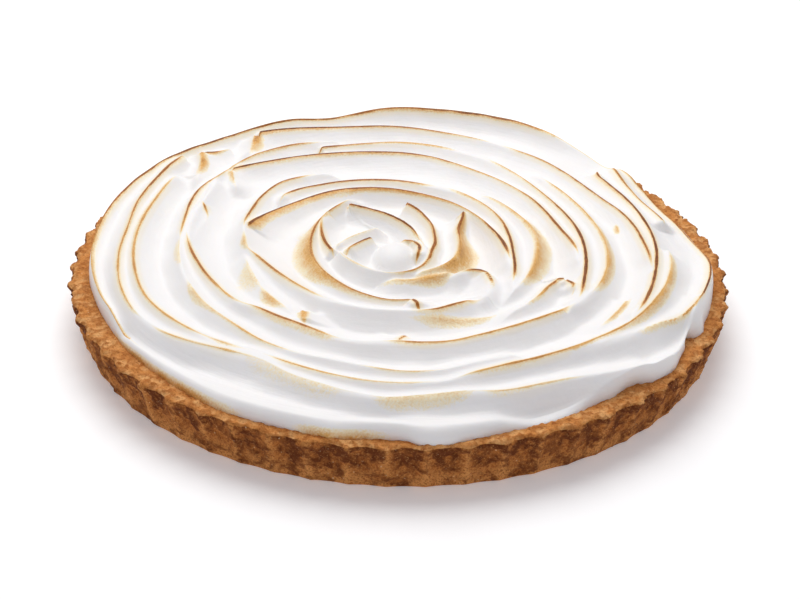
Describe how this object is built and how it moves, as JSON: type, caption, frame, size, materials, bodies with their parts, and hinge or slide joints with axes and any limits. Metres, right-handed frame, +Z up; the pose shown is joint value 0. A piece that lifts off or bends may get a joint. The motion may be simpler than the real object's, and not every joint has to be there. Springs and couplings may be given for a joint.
{
  "type": "lemon meringue tart",
  "caption": "Whole round lemon meringue tart: a fluted shortcrust shell under a low dome of meringue spread in rings and browned along its crests.",
  "frame": {"origin": "middle of the flat underside of the crust", "axes": "+Z up from the surface that the tart rests on; -Y is the side where the meringue runs furthest out over the rim"},
  "size_m": [0.2838, 0.2839, 0.0367],
  "materials": {
    "crust": "baked shortcrust: matt, coarse and crumbly, darker high on its wall",
    "meringue": "soft whipped meringue: satin white, browned by a flame along its crests"
  },
  "bodies": {
    "root": {"crust": "crust", "meringue": "meringue"}
  },
  "joints": []
}
